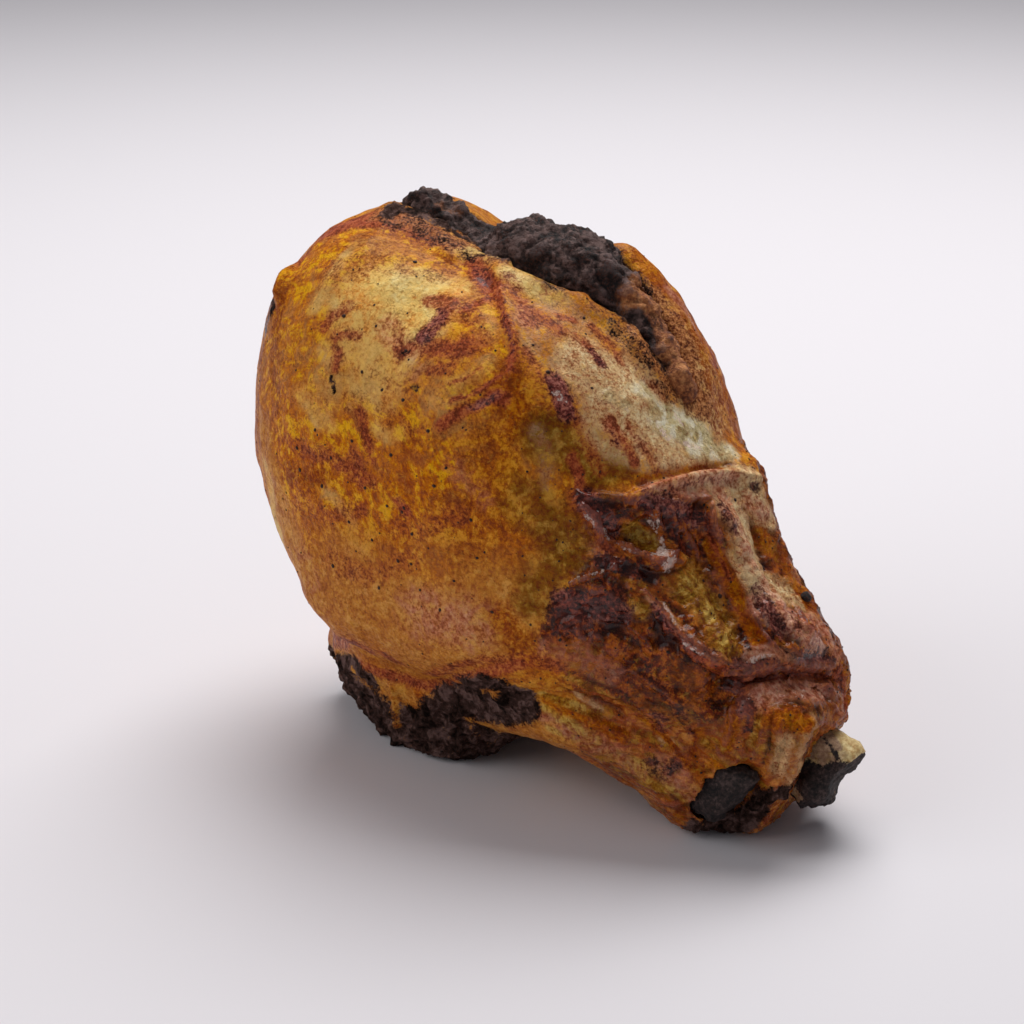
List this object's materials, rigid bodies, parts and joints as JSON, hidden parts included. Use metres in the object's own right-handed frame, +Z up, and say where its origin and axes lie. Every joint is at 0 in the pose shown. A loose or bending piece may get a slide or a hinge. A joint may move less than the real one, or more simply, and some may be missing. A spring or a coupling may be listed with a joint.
{
  "type": "stuffed pork chop",
  "caption": "Roasted bone-in pork chop, thick and round, standing on its bone edge, with charred stuffing bulging from a pocket along the top and sawn rib ends at one side.",
  "frame": {"origin": "middle of the footprint, on the surface that the chop stands on", "axes": "+X runs along the bone edge from the chine to the rib ends, +Y across the thickness away from the broad side that the picture shows, +Z up to the fat edge and the mouth of the pocket"},
  "size_m": [0.147, 0.084, 0.1198],
  "materials": {
    "roasted_meat": "semi-gloss roasted skin, fat and meat: golden brown, red-brown where it browned most, pale fat near the mouth, mahogany membrane over the ribs, black char under the chine",
    "charred_stuffing": "matte, craggy, burnt black-brown crust with brown patches",
    "charred_bone": "matte sawn bone end, charred grey-black",
    "roasted_bone": "satin cream bone with a grey-brown marrow side and a charred tip"
  },
  "bodies": {
    "root": {"chop_meat": "roasted_meat", "stuffing": "charred_stuffing", "rib_bone_front": "charred_bone", "rib_bone_back": "roasted_bone"}
  },
  "joints": []
}
